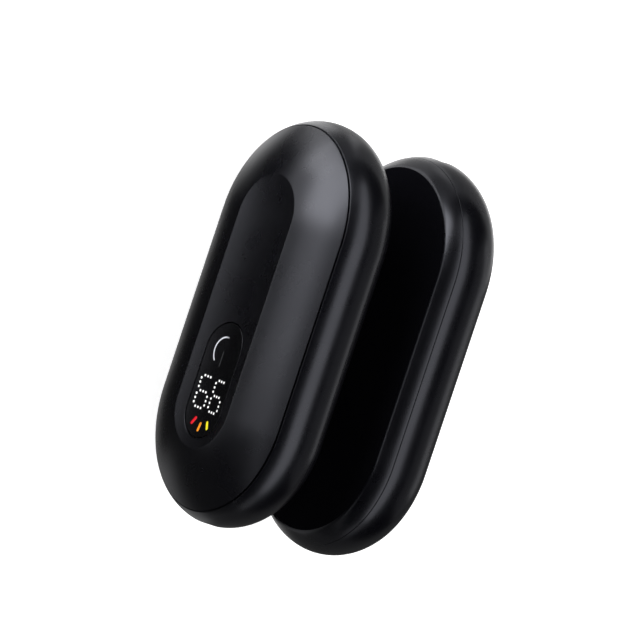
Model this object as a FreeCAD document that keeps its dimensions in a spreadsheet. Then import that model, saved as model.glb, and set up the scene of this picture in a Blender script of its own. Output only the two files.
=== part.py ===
import FreeCAD, Part
import math
import os
import re
import Sketcher

# A pocket hand warmer in two like halves that face each other and snap together by magnets.
# Each half is drawn lying on its flat contact face: X along it, Y across it, Z out from the contact face.
# It is then stood on its long side, so that the pair faces each other along the world's Y axis.

doc = FreeCAD.newDocument("HandWarmer")
sizes = doc.addObject("Spreadsheet::Sheet", "Sizes")

# Driving sizes in millimetres. Heights are counted from the contact face.
driving_sizes = {
    # The half's outer form: a stadium with a round side wall and a shallow domed cover
    "straight_half": 22.5,
    "half_width": 27.0,
    "halves_gap": 16.5,
    "wall_bulge": 4.0,
    "wall_centre_height": 7.9,
    "face_edge_radius": 1.6,
    "inner_seam_height": 3.3,
    "outer_seam_height": 14.3,
    "dome_rise": 6.4,
    "inner_groove_width": 0.1,
    "outer_groove_width": 0.35,
    "groove_depth": 0.9,
    "cut_overrun": 2.0,
    # Outer cover
    "dish_half_width": 10.7,
    "dish_depth": 1.35,
    "dish_far_reach": 1.5,
    "dish_rim_radius": 1.2,
    "dish_wall": 1.8,
    "ceiling_half_width": 16.0,
    "cover_lip_height": 1.6,
    "cover_lip_thickness": 1.0,
    "lip_clearance": 0.1,
    # Side frame
    "frame_wall": 2.2,
    # Contact cover
    "contact_wall": 1.6,
    "contact_lip_height": 1.3,
    "contact_lip_thickness": 1.4,
    # Display key
    "key_end_margin": 2.7,
    "key_half_length": 14.05,
    "key_half_width": 6.9,
    "key_gap": 0.2,
    "key_flange_width": 1.4,
    "key_flange_thickness": 1.05,
    "key_rest_gap": 0.05,
    "key_travel": 0.4,
    "key_stop_gap": 0.05,
    # Light box under the key
    "cell_half_width": 5.0,
    "cell_wall": 1.2,
    "carrier_end_wall": 3.0,
    "digit_cell_half_width": 6.2,
    "digit_cell_length": 9.2,
    # Main board and its screws
    "board_thickness": 1.0,
    "board_margin": 1.0,
    "boss_along": 20.0,
    "boss_gap": 1.1,
    "boss_radius": 2.2,
    "boss_length": 3.2,
    "screw_radius": 0.8,
    "screw_head_radius": 1.6,
    "screw_head_height": 0.9,
    "screw_length": 3.6,
    "screw_clearance": 0.03,
    # Push switch and lamps
    "switch_side": 4.6,
    "switch_floor": 0.4,
    "plunger_radius": 1.2,
    "plunger_clearance": 0.08,
    "plunger_depth": 0.5,
    "plunger_reach": 0.6,
    "power_led_gap": 0.3,
    "digit_offset": 3.5,
    "digit_length": 7.55,
    "digit_width": 4.15,
    "digit_gap": 1.65,
    "dot_side": 0.6,
    "dot_height": 0.45,
    "bar_pitch": 2.8,
    "led_length": 1.6,
    "led_width": 0.8,
    "led_height": 0.6,
    # Charging socket and its board
    "usb_width": 8.94,
    "usb_thickness": 3.26,
    "usb_wall": 0.3,
    "usb_length": 7.3,
    "usb_recess": 0.8,
    "usb_block_length": 2.4,
    "usb_block_clearance": 0.02,
    "tongue_width": 6.69,
    "tongue_thickness": 0.7,
    "tongue_setback": 1.0,
    "port_clearance": 0.25,
    "charge_board_length": 9.5,
    "charge_board_half_width": 7.5,
    "charge_board_thickness": 1.0,
    "charge_board_overhang": 4.2,
    "post_radius": 1.4,
    "post_setback": 3.0,
    # Heating stack and battery
    "spreader_end_gap": 0.3,
    "spreader_side_gap": 2.8,
    "spreader_corner": 6.0,
    "spreader_thickness": 0.8,
    "film_margin": 0.6,
    "film_thickness": 0.25,
    "thermistor_length": 1.2,
    "thermistor_width": 2.0,
    "thermistor_height": 0.4,
    "pad_thickness": 0.5,
    "pad_margin": 2.0,
    "battery_end_margin": 2.6,
    "battery_side_margin": 1.0,
    "battery_corner": 3.0,
    "battery_top_gap": 0.6,
    # Magnets
    "magnet_end_gap": 1.8,
    "magnet_radius": 5.0,
    "magnet_thickness": 3.0,
    "magnet_skin": 0.6,
    "magnet_clearance": 0.05,
    "magnet_collar": 1.1,
    "magnet_collar_height": 1.4,
}
for row, (name, number) in enumerate(driving_sizes.items(), start=1):
    sizes.set(f"A{row}", name)
    sizes.set(f"B{row}", str(number))
    sizes.setAlias(f"B{row}", name)
doc.recompute()


# Each size name has an underscore, so a formula's size names can be told from its functions
def formula(text):
    return re.sub(r"\b[a-z]+(?:_[a-z]+)+\b", lambda found: "Sizes." + found.group(), text)


def measure(text):
    return float(sizes.evalExpression(formula(text)))


# Sizes that follow from the driving ones, as formulas
wall_radius = "((wall_centre_height^2 + wall_bulge^2) / (2 * wall_bulge))"
wall_centre = f"(half_width - {wall_radius})"


# Half the width over the round side wall at a height
def wall_at(height):
    return f"({wall_centre} + sqrt({wall_radius}^2 - ({height} - wall_centre_height)^2))"


frame_bottom = "(inner_seam_height + inner_groove_width / 2)"
frame_shoulder = "(outer_seam_height - outer_groove_width / 2)"
cover_bottom = "(outer_seam_height + outer_groove_width / 2)"
contact_top = "(inner_seam_height - inner_groove_width / 2)"
cover_edge = wall_at(cover_bottom)
dome_height = "(outer_seam_height + dome_rise)"
dome_sag = f"({dome_height} - {cover_bottom})"
dome_radius = f"(({cover_edge}^2 + {dome_sag}^2) / (2 * {dome_sag}))"
dish_rim = f"({dome_height} - {dome_radius} + sqrt({dome_radius}^2 - dish_half_width^2))"
dish_bottom = f"({dish_rim} - dish_depth)"
dish_radius = "((dish_half_width^2 + dish_depth^2) / (2 * dish_depth))"
ceiling = f"({dish_bottom} - dish_wall)"
frame_top_inside = f"({cover_edge} - frame_wall)"
frame_bottom_inside = f"({wall_at(frame_bottom)} - frame_wall)"
cover_lip_outer = f"({frame_top_inside} - lip_clearance)"
cover_lip_inner = f"({cover_lip_outer} - cover_lip_thickness)"
contact_lip_outer = f"({frame_bottom_inside} - lip_clearance)"
contact_lip_inner = f"({contact_lip_outer} - contact_lip_thickness)"
board_top = f"({ceiling} - boss_length)"
board_bottom = f"({board_top} - board_thickness)"
key_straight = "(key_half_length - key_half_width)"
key_centre = "(straight_half + dish_half_width - key_end_margin - key_half_length)"
key_bottom = f"({ceiling} - key_rest_gap - key_flange_thickness)"
flange_radius = "(key_half_width + key_flange_width)"
boss_across = f"({flange_radius} + boss_gap + boss_radius)"
digit_centre = f"({key_centre} + digit_offset)"
digit_cell = (f"({digit_centre} - digit_cell_length / 2)", f"({digit_centre} + digit_cell_length / 2)")
carrier_reach = "(key_half_length + key_flange_width - carrier_end_wall)"
switch_cell = (f"({key_centre} - {carrier_reach})", f"({digit_cell[0]} - cell_wall)")
bar_cell = (f"({digit_cell[1]} + cell_wall)", f"({key_centre} + {carrier_reach})")
switch_centre = f"(({switch_cell[0]} + {switch_cell[1]}) / 2)"
bar_centre = f"(({bar_cell[0]} + {bar_cell[1]}) / 2)"
switch_top = f"({key_bottom} - plunger_reach)"
socket_front = "(straight_half + half_width - usb_recess)"
socket_back = f"({socket_front} - usb_length)"
socket_radius = "(usb_thickness / 2)"
socket_straight = "(usb_width / 2 - usb_thickness / 2)"
charge_board_top = "(wall_centre_height - usb_thickness / 2)"
charge_board_bottom = f"({charge_board_top} - charge_board_thickness)"
charge_board_front = f"({socket_front} - charge_board_overhang)"
magnet_well = "(magnet_radius + magnet_clearance)"
magnet_collar_radius = f"({magnet_well} + magnet_collar)"
magnet_along = f"(straight_half + {contact_lip_inner} - magnet_end_gap - {magnet_collar_radius})"
spreader_half_length = f"({magnet_along} - {magnet_collar_radius} - spreader_end_gap)"
spreader_half_width = f"({contact_lip_inner} - spreader_side_gap)"
battery_half_length = f"({spreader_half_length} - battery_end_margin)"
battery_half_width = f"({spreader_half_width} - battery_side_margin)"
film_bottom = "(contact_wall + spreader_thickness)"
film_top = f"({film_bottom} + film_thickness)"
battery_bottom = f"({film_top} + pad_thickness)"
battery_top = f"({board_bottom} - screw_head_height - battery_top_gap)"
boss_places = [
    (f"{along} * boss_along", f"{across} * {boss_across}") for along in (1, -1) for across in (1, -1)
]


# Places a piece that was drawn lying down in the front or the rear half
def stand(piece, half):
    upright = FreeCAD.Rotation(FreeCAD.Vector(1, 0, 0), 90)
    facing = FreeCAD.Rotation(FreeCAD.Vector(0, 0, 1), 0 if half == "front" else 180)
    side = "-1" if half == "front" else "1"
    piece.Placement = FreeCAD.Placement(FreeCAD.Vector(), facing.multiply(upright))
    piece.setExpression("Placement.Base.y", formula(f"{side} * halves_gap / 2"))
    piece.setExpression("Placement.Base.z", formula("half_width"))


def new_body(half, name):
    body = doc.addObject("PartDesign::Body", f"{half}_{name}")
    body.Label = f"{half}_{name}"
    body.AllowCompound = True
    stand(body, half)
    return body


# An empty sketch on one of the body's own planes, moved out along that plane's normal
def new_sketch(body, name, plane, level):
    sketch = body.newObject("Sketcher::SketchObject", f"{body.Name}_{name}")
    support = [feature for feature in body.Origin.OriginFeatures if feature.Role == plane][0]
    sketch.AttachmentSupport = [(support, "")]
    sketch.MapMode = "FlatFace"
    sketch.setExpression("AttachmentOffset.Base.z", formula(level))
    return sketch


# Ties one point of a sketch to two formulas, counted from the sketch's own origin
def fix_point(sketch, geometry, point, across, up):
    for kind, text, axis in (("DistanceX", across, -2), ("DistanceY", up, -1)):
        if text == "0":
            sketch.addConstraint(Sketcher.Constraint("PointOnObject", geometry, point, axis))
        else:
            number = sketch.addConstraint(Sketcher.Constraint(kind, geometry, point, measure(text)))
            sketch.setExpression(f"Constraints[{number}]", formula(text))


def fix_radius(sketch, geometry, radius):
    number = sketch.addConstraint(Sketcher.Constraint("Radius", geometry, measure(radius)))
    sketch.setExpression(f"Constraints[{number}]", formula(radius))


# A closed outline through corners. Sides listed in arcs are round, turning left with the given radius.
def draw_outline(sketch, corners, arcs):
    spots = [FreeCAD.Vector(measure(across), measure(up), 0) for across, up in corners]
    sides = []
    for number, start in enumerate(spots):
        end = spots[(number + 1) % len(spots)]
        side = Part.LineSegment(start, end)
        if number in arcs:
            radius = measure(arcs[number])
            chord = end - start
            rise = math.sqrt(max(radius ** 2 - (chord.Length / 2) ** 2, 0))
            centre = (start + end) / 2 + FreeCAD.Vector(-chord.y, chord.x, 0) / chord.Length * rise
            first = math.atan2(start.y - centre.y, start.x - centre.x)
            last = math.atan2(end.y - centre.y, end.x - centre.x)
            circle = Part.Circle(centre, FreeCAD.Vector(0, 0, 1), radius)
            side = Part.ArcOfCircle(circle, first, last if last > first else last + 2 * math.pi)
        sides.append(sketch.addGeometry(side, False))
    for number, side in enumerate(sides):
        following = sides[(number + 1) % len(sides)]
        sketch.addConstraint(Sketcher.Constraint("Coincident", side, 2, following, 1))
        fix_point(sketch, side, 1, *corners[number])
        if number in arcs:
            fix_radius(sketch, side, arcs[number])


def draw_box(sketch, low_across, low_up, high_across, high_up):
    corners = [(low_across, low_up), (high_across, low_up), (high_across, high_up), (low_across, high_up)]
    draw_outline(sketch, corners, {})


# A box with rounded corners, centred on the sketch's origin
def draw_rounded_box(sketch, half_across, half_up, corner):
    inner_across = f"({half_across} - {corner})"
    inner_up = f"({half_up} - {corner})"
    corners = [
        (f"-{inner_across}", f"-{half_up}"), (inner_across, f"-{half_up}"),
        (half_across, f"-{inner_up}"), (half_across, inner_up),
        (inner_across, half_up), (f"-{inner_across}", half_up),
        (f"-{half_across}", inner_up), (f"-{half_across}", f"-{inner_up}"),
    ]
    draw_outline(sketch, corners, {number: corner for number in (1, 3, 5, 7)})


# A stadium along the sketch's X axis
def draw_pill(sketch, straight, radius, across="0", up="0"):
    reach = measure(straight)
    size = measure(radius)
    middle = FreeCAD.Vector(measure(across), measure(up), 0)
    ends = []
    for side, start in ((1, -math.pi / 2), (-1, math.pi / 2)):
        centre = middle + FreeCAD.Vector(side * reach, 0, 0)
        circle = Part.Circle(centre, FreeCAD.Vector(0, 0, 1), size)
        end = sketch.addGeometry(Part.ArcOfCircle(circle, start, start + math.pi), False)
        fix_point(sketch, end, 3, f"{across} + {side} * {straight}", up)
        fix_radius(sketch, end, radius)
        for point in (1, 2):
            sketch.addConstraint(Sketcher.Constraint("Vertical", end, 3, end, point))
        ends.append((end, centre))
    (right, right_centre), (left, left_centre) = ends
    lift = FreeCAD.Vector(0, size, 0)
    for start, last, side in ((right, left, 1), (left, right, -1)):
        from_centre = right_centre if side > 0 else left_centre
        to_centre = left_centre if side > 0 else right_centre
        line = sketch.addGeometry(Part.LineSegment(from_centre + lift * side, to_centre + lift * side), False)
        sketch.addConstraint(Sketcher.Constraint("Coincident", start, 2, line, 1))
        sketch.addConstraint(Sketcher.Constraint("Coincident", line, 2, last, 1))


def draw_circle(sketch, across, up, radius):
    middle = FreeCAD.Vector(measure(across), measure(up), 0)
    circle = sketch.addGeometry(Part.Circle(middle, FreeCAD.Vector(0, 0, 1), measure(radius)), False)
    fix_point(sketch, circle, 3, across, up)
    fix_radius(sketch, circle, radius)


# Pads grow and pockets cut along the sketch plane's normal
def add_pad(body, sketch, length):
    pad = body.newObject("PartDesign::Pad", f"{sketch.Name}_pad")
    pad.Profile = sketch
    pad.setExpression("Length", formula(length))


def cut_pocket(body, sketch, length):
    pocket = body.newObject("PartDesign::Pocket", f"{sketch.Name}_pocket")
    pocket.Profile = sketch
    pocket.Reversed = True
    pocket.setExpression("Length", formula(length))


# Runs a cross-section round the stadium: straight along X, then half a turn about each end's centre.
# The section is drawn on its right side only, from the middle line out and back to it, anticlockwise.
# The turn on the -X side can be set further out than the other one.
def run_section(body, name, section, arcs, cut=False, ends=(1, -1), far_half="straight_half"):
    right = section[1:-1]
    left = [(f"-{across}", up) for across, up in reversed(right)]
    last = len(section) - 2
    order = list(range(1, last + 1)) + list(range(last - 1, -1, -1))
    full_arcs = {place: arcs[number] for place, number in enumerate(order) if number in arcs}
    straight = new_sketch(body, f"{name}_straight", "YZ_Plane", f"-{far_half}")
    draw_outline(straight, right + left, full_arcs)
    if cut:
        cut_pocket(body, straight, f"{far_half} + straight_half")
    else:
        add_pad(body, straight, f"{far_half} + straight_half")
    for side in ends:
        end = new_sketch(body, f"{name}_end", "YZ_Plane", "straight_half" if side > 0 else f"-{far_half}")
        draw_outline(end, section, arcs)
        turn = body.newObject("PartDesign::Groove" if cut else "PartDesign::Revolution", f"{end.Name}_turn")
        turn.Profile = end
        turn.ReferenceAxis = (end, ["V_Axis"])
        turn.Angle = 180
        turn.Reversed = side > 0


# The long thumb dish, a shallow round trough with round ends, shared by the outer cover and the key.
# It runs further towards the end that has no port.
def cut_dish(body, ends):
    reach = "(dish_half_width + cut_overrun)"
    reach_height = f"({dish_bottom} + {dish_radius} - sqrt({dish_radius}^2 - {reach}^2))"
    above = f"({dome_height} + cut_overrun)"
    section = [("0", dish_bottom), (reach, reach_height), (reach, above), ("0", above)]
    far_half = "(straight_half + dish_far_reach)"
    run_section(body, "dish", section, {0: dish_radius}, cut=True, ends=ends, far_half=far_half)


# Rounds the edge where the dish meets the dome: the only edges that stay above half the dish's depth
def round_dish_rim(body):
    doc.recompute()
    dished = body.Tip
    level = measure(f"{dish_bottom} + dish_depth / 2")
    edges = [number for number, edge in enumerate(dished.Shape.Edges, start=1) if edge.BoundBox.ZMin > level]
    rim = body.newObject("PartDesign::Fillet", f"{body.Name}_dish_rim")
    rim.Base = (dished, [f"Edge{number}" for number in edges])
    rim.setExpression("Radius", formula("dish_rim_radius"))


def make_outer_cover(half):
    body = new_body(half, "outer_cover")
    dome = [("0", cover_bottom), (cover_edge, cover_bottom), ("0", dome_height)]
    run_section(body, "dome", dome, {1: dome_radius})
    lip_bottom = f"({cover_bottom} - cover_lip_height)"
    lip = new_sketch(body, "lip", "XY_Plane", lip_bottom)
    draw_pill(lip, "straight_half", cover_lip_outer)
    add_pad(body, lip, "cover_lip_height")
    hollow = new_sketch(body, "hollow", "XY_Plane", lip_bottom)
    draw_pill(hollow, "straight_half", cover_lip_inner)
    cut_pocket(body, hollow, "cover_lip_height")
    vault = [
        ("0", cover_bottom), (cover_lip_inner, cover_bottom), ("ceiling_half_width", ceiling), ("0", ceiling),
    ]
    run_section(body, "vault", vault, {}, cut=True)
    cut_dish(body, (1, -1))
    round_dish_rim(body)
    opening = new_sketch(body, "key_opening", "XY_Plane", f"{ceiling} - cut_overrun")
    draw_pill(opening, key_straight, "key_half_width + key_gap", key_centre)
    cut_pocket(body, opening, dome_height)
    bosses = new_sketch(body, "bosses", "XY_Plane", board_top)
    pilots = new_sketch(body, "pilot_holes", "XY_Plane", board_top)
    for along, across in boss_places:
        draw_circle(bosses, along, across, "boss_radius")
        draw_circle(pilots, along, across, "screw_radius + screw_clearance")
    add_pad(body, bosses, "boss_length")
    cut_pocket(body, pilots, "screw_length - board_thickness + screw_head_height")


def make_side_frame(half):
    body = new_body(half, "side_frame")
    seat = f"({wall_at(frame_shoulder)} - groove_depth)"
    outside = [
        ("0", frame_bottom), (wall_at(frame_bottom), frame_bottom), (wall_at(frame_shoulder), frame_shoulder),
        (seat, frame_shoulder), (seat, cover_bottom), ("0", cover_bottom),
    ]
    run_section(body, "wall", outside, {1: wall_radius})
    inside = [
        ("0", frame_bottom), (frame_bottom_inside, frame_bottom), (frame_top_inside, cover_bottom),
        ("0", cover_bottom),
    ]
    run_section(body, "inside", inside, {1: wall_radius}, cut=True)
    port = new_sketch(body, "port", "YZ_Plane", socket_back)
    draw_pill(port, socket_straight, f"{socket_radius} + port_clearance", "0", "wall_centre_height")
    cut_pocket(body, port, "usb_length + usb_recess + cut_overrun")


def make_contact_cover(half):
    body = new_body(half, "contact_cover")
    edge = f"({wall_radius} - face_edge_radius)"
    rise = "(wall_centre_height - face_edge_radius)"
    flat_edge = f"({wall_centre} + sqrt({edge}^2 - {rise}^2))"
    wall_start = f"({wall_centre} + ({flat_edge} - {wall_centre}) * {wall_radius} / {edge})"
    wall_start_height = f"(wall_centre_height - {rise} * {wall_radius} / {edge})"
    outside = [
        ("0", "0"), (flat_edge, "0"), (wall_start, wall_start_height), (wall_at(contact_top), contact_top),
        ("0", contact_top),
    ]
    run_section(body, "tray", outside, {1: "face_edge_radius", 2: wall_radius})
    seat = new_sketch(body, "seat", "XY_Plane", contact_top)
    draw_pill(seat, "straight_half", f"{wall_at(contact_top)} - groove_depth")
    add_pad(body, seat, "inner_groove_width")
    lip = new_sketch(body, "lip", "XY_Plane", frame_bottom)
    draw_pill(lip, "straight_half", contact_lip_outer)
    add_pad(body, lip, "contact_lip_height")
    hollow = new_sketch(body, "hollow", "XY_Plane", "contact_wall")
    draw_pill(hollow, "straight_half", contact_lip_inner)
    cut_pocket(body, hollow, f"{frame_bottom} + contact_lip_height")
    collars = new_sketch(body, "magnet_collars", "XY_Plane", "contact_wall")
    wells = new_sketch(body, "magnet_wells", "XY_Plane", "magnet_skin")
    for along in (magnet_along, f"-{magnet_along}"):
        draw_circle(collars, along, "0", magnet_collar_radius)
        draw_circle(wells, along, "0", magnet_well)
    add_pad(body, collars, "magnet_collar_height")
    cut_pocket(body, wells, "contact_wall + magnet_collar_height")
    posts = new_sketch(body, "board_posts", "XY_Plane", "contact_wall")
    for side in (1, -1):
        across = f"{side} * (charge_board_half_width - post_radius)"
        draw_circle(posts, f"{charge_board_front} - post_setback", across, "post_radius")
    add_pad(body, posts, f"{charge_board_bottom} - contact_wall")


def make_display_key(half):
    body = new_body(half, "display_key")
    flange = new_sketch(body, "flange", "XY_Plane", key_bottom)
    draw_pill(flange, key_straight, flange_radius, key_centre)
    add_pad(body, flange, "key_flange_thickness")
    stem = new_sketch(body, "stem", "XY_Plane", key_bottom)
    draw_pill(stem, key_straight, "key_half_width", key_centre)
    add_pad(body, stem, f"{dome_height} - {key_bottom}")
    cut_dish(body, (1,))


def make_key_carrier(half):
    body = new_body(half, "key_carrier")
    frame = new_sketch(body, "frame", "XY_Plane", board_top)
    draw_pill(frame, key_straight, flange_radius, key_centre)
    add_pad(body, frame, f"{key_bottom} - key_travel - key_stop_gap - {board_top}")
    cells = new_sketch(body, "cells", "XY_Plane", board_top)
    for start, end in (switch_cell, bar_cell):
        draw_box(cells, start, "-cell_half_width", end, "cell_half_width")
    draw_box(cells, digit_cell[0], "-digit_cell_half_width", digit_cell[1], "digit_cell_half_width")
    cut_pocket(body, cells, key_bottom)


def make_main_board(half):
    body = new_body(half, "main_board")
    board = new_sketch(body, "board", "XY_Plane", board_bottom)
    draw_pill(board, "boss_along", f"{boss_across} + boss_radius + board_margin")
    for along, across in boss_places:
        draw_circle(board, along, across, "screw_radius + screw_clearance")
    add_pad(body, board, "board_thickness")


def make_board_screws(half):
    body = new_body(half, "board_screws")
    heads = new_sketch(body, "heads", "XY_Plane", f"{board_bottom} - screw_head_height")
    shanks = new_sketch(body, "shanks", "XY_Plane", board_bottom)
    for along, across in boss_places:
        draw_circle(heads, along, across, "screw_head_radius")
        draw_circle(shanks, along, across, "screw_radius")
    add_pad(body, heads, "screw_head_height")
    add_pad(body, shanks, "screw_length")


def make_push_switch(half):
    body = new_body(half, "switch_body")
    case = new_sketch(body, "case", "XY_Plane", board_top)
    reach = "switch_side / 2"
    draw_box(case, f"{switch_centre} - {reach}", f"-{reach}", f"{switch_centre} + {reach}", reach)
    add_pad(body, case, f"{switch_top} - {board_top}")
    bore = new_sketch(body, "bore", "XY_Plane", f"{board_top} + switch_floor")
    draw_circle(bore, switch_centre, "0", "plunger_radius + plunger_clearance")
    cut_pocket(body, bore, f"{switch_top} - {board_top} - switch_floor")
    plunger = new_body(half, "switch_plunger")
    tip = new_sketch(plunger, "tip", "XY_Plane", f"{switch_top} - plunger_depth")
    draw_circle(tip, switch_centre, "0", "plunger_radius")
    add_pad(plunger, tip, "plunger_depth + plunger_reach")


# A small lamp package on the main board
def make_lamp(half, name, along, across):
    body = new_body(half, name)
    case = new_sketch(body, "case", "XY_Plane", board_top)
    reach = "led_length / 2"
    side = "led_width / 2"
    draw_box(case, f"{along} - {reach}", f"{across} - {side}", f"{along} + {reach}", f"{across} + {side}")
    add_pad(body, case, "led_height")


def make_lamps(half):
    make_lamp(half, "power_led", f"{switch_centre} - switch_side / 2 - power_led_gap - led_length / 2", "0")
    for name, place in (("red_led", "-1"), ("amber_led", "0"), ("yellow_led", "1")):
        make_lamp(half, name, bar_centre, f"{place} * bar_pitch")


# Seven segments of three dot lamps for each of the two digits, read with -X upwards and +Y to the right.
# A segment is its middle and its half run, both as shares of the digit's half length and half width.
segment_shares = [
    ((-1, 0), (0, 1)), ((0, 0), (0, 1)), ((1, 0), (0, 1)),
    ((-0.5, -1), (0.5, 0)), ((-0.5, 1), (0.5, 0)), ((0.5, -1), (0.5, 0)), ((0.5, 1), (0.5, 0)),
]
dot_shares = (-0.53, 0, 0.53)


def make_digit_leds(half):
    dots = []
    for digit in (-1, 1):
        digit_middle = f"{digit} * (digit_width + digit_gap) / 2"
        for (along, across), (run_along, run_across) in segment_shares:
            for share in dot_shares:
                dot = doc.addObject("Part::Box", f"{half}_dot")
                along_share = along + share * run_along
                across_share = across + share * run_across
                bindings = {
                    "Length": "dot_side",
                    "Width": "dot_side",
                    "Height": "dot_height",
                    "Placement.Base.x": f"{digit_centre} + ({along_share}) * digit_length / 2 - dot_side / 2",
                    "Placement.Base.y": f"{digit_middle} + ({across_share}) * digit_width / 2 - dot_side / 2",
                    "Placement.Base.z": board_top,
                }
                for target, text in bindings.items():
                    dot.setExpression(target, formula(text))
                dots.append(dot)
    lamps = doc.addObject("Part::Compound", f"{half}_digit_leds")
    lamps.Label = f"{half}_digit_leds"
    lamps.Links = dots
    stand(lamps, half)


def make_charging_socket(half):
    shell = new_body(half, "usb_shell")
    tube = new_sketch(shell, "tube", "YZ_Plane", socket_back)
    draw_pill(tube, socket_straight, socket_radius, "0", "wall_centre_height")
    draw_pill(tube, socket_straight, f"{socket_radius} - usb_wall", "0", "wall_centre_height")
    add_pad(shell, tube, "usb_length")
    tongue = new_body(half, "usb_tongue")
    block = new_sketch(tongue, "block", "YZ_Plane", socket_back)
    block_radius = f"{socket_radius} - usb_wall - usb_block_clearance"
    draw_pill(block, socket_straight, block_radius, "0", "wall_centre_height")
    add_pad(tongue, block, "usb_block_length")
    blade = new_sketch(tongue, "blade", "YZ_Plane", f"{socket_back} + usb_block_length")
    draw_box(blade, "-tongue_width / 2", "wall_centre_height - tongue_thickness / 2",
             "tongue_width / 2", "wall_centre_height + tongue_thickness / 2")
    add_pad(tongue, blade, "usb_length - usb_block_length - tongue_setback")


def make_charge_board(half):
    body = new_body(half, "charge_board")
    board = new_sketch(body, "board", "XY_Plane", charge_board_bottom)
    draw_box(board, f"{charge_board_front} - charge_board_length", "-charge_board_half_width",
             charge_board_front, "charge_board_half_width")
    add_pad(body, board, "charge_board_thickness")


# The layers behind the contact face, from the metal plate out to the battery
def make_heating_stack(half):
    film_half_length = f"({spreader_half_length} - film_margin)"
    layers = (
        ("heat_spreader", "contact_wall", spreader_half_length, spreader_half_width, "spreader_corner",
         "spreader_thickness"),
        ("heater_film", film_bottom, film_half_length, f"({spreader_half_width} - film_margin)",
         "spreader_corner", "film_thickness"),
        ("battery_pad", film_top, f"({battery_half_length} - pad_margin)",
         f"({battery_half_width} - pad_margin)", "battery_corner", "pad_thickness"),
        ("battery", battery_bottom, battery_half_length, battery_half_width, "battery_corner",
         f"{battery_top} - {battery_bottom}"),
    )
    for name, level, half_length, half_across, corner, thickness in layers:
        body = new_body(half, name)
        layer = new_sketch(body, "layer", "XY_Plane", level)
        draw_rounded_box(layer, half_length, half_across, corner)
        add_pad(body, layer, thickness)
    thermistor = new_body(half, "thermistor")
    bead = new_sketch(thermistor, "bead", "XY_Plane", film_top)
    draw_box(bead, f"-{film_half_length}", "-thermistor_width / 2",
             f"thermistor_length - {film_half_length}", "thermistor_width / 2")
    add_pad(thermistor, bead, "thermistor_height")


def make_magnets(half):
    body = new_body(half, "magnets")
    discs = new_sketch(body, "discs", "XY_Plane", "magnet_skin")
    for along in (magnet_along, f"-{magnet_along}"):
        draw_circle(discs, along, "0", "magnet_radius")
    add_pad(body, discs, "magnet_thickness")


makers = (
    make_outer_cover, make_side_frame, make_contact_cover, make_display_key, make_key_carrier,
    make_main_board, make_board_screws, make_push_switch, make_lamps, make_digit_leds,
    make_charging_socket, make_charge_board, make_heating_stack, make_magnets,
)
for half in ("front", "rear"):
    for make in makers:
        make(half)
doc.recompute()

# Nothing is written unless every object came out whole and every cut took material away
faults = [item.Name for item in doc.Objects if {"Invalid", "Error"} & set(item.State)]
cuts = [item for item in doc.Objects if item.TypeId in ("PartDesign::Pocket", "PartDesign::Groove")]
faults += [f"{cut.Name} cuts nothing" for cut in cuts if not cut.Shape.Volume < cut.BaseFeature.Shape.Volume]
pieces = [item for item in doc.Objects if item.TypeId in ("PartDesign::Body", "Part::Compound")]
faults += [f"{item.Label} is not valid" for item in pieces if item.Shape.isNull() or not item.Shape.isValid()]
if faults:
    raise RuntimeError("; ".join(faults))

os.makedirs("parts", exist_ok=True)
for item in pieces:
    item.Shape.exportStep(f"parts/{item.Label}.step")
    print(item.Label, len(item.Shape.Solids), round(item.Shape.Volume, 1))
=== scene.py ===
import math

import bmesh
import bpy
from mathutils import Matrix, Vector


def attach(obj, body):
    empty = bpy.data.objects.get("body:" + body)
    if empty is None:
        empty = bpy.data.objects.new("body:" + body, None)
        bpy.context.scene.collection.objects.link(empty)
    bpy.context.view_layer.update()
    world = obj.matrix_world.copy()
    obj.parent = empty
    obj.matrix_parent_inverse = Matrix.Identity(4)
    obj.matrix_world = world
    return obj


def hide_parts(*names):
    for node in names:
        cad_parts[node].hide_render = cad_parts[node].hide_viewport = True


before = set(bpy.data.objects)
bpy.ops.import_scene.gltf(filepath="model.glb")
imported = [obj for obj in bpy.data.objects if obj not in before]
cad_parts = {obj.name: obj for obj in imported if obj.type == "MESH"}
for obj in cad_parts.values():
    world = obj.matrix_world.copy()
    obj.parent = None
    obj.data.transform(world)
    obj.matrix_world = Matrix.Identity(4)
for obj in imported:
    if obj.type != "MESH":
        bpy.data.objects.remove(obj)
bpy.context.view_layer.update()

mm = 0.001
print("frame loaded:", len(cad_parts), "nodes")

# sizes of one half in mm, lying on its contact face: x along, y across, z out from the face
form = {
    "straightHalf": 22.5,
    "halfWidth": 27.0,
    "halvesGap": 16.5,
    "wallBulge": 4.0,
    "wallCentreHeight": 7.9,
    "faceEdgeRadius": 1.6,
    "contactTop": 3.25,
    "frameBottom": 3.35,
    "frameShoulder": 14.125,
    "coverBottom": 14.475,
    "domeHeight": 20.7,
    "grooveDepth": 0.9,
    "innerGrooveDepth": 0.3,
    "innerSoftness": 0.05,
    "sideSteps": 30,  # steps along each straight side
    "turnSteps": 72,  # steps round each end
    "weldDistance": 0.002,
    "shortestEdge": 0.001,
    "creaseAngle": 32.0,  # edges that turn by more stay crisp
}
wallRadius = (form["wallCentreHeight"] ** 2 + form["wallBulge"] ** 2) / (2 * form["wallBulge"])
wallCentre = form["halfWidth"] - wallRadius


def wallAt(height):  # half width over the round wall
    return wallCentre + math.sqrt(wallRadius ** 2 - (height - form["wallCentreHeight"]) ** 2)


def halfMatrix(half):  # lying half in mm to the standing one in metres
    stand = Matrix.Rotation(math.radians(90), 4, "X")
    side = -1
    if half == "rear":
        stand = Matrix.Rotation(math.radians(180), 4, "Z") @ stand
        side = 1
    place = Matrix.Translation((0, side * form["halvesGap"] / 2 * mm, form["halfWidth"] * mm))
    return place @ stand @ Matrix.Scale(mm, 4)


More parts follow.
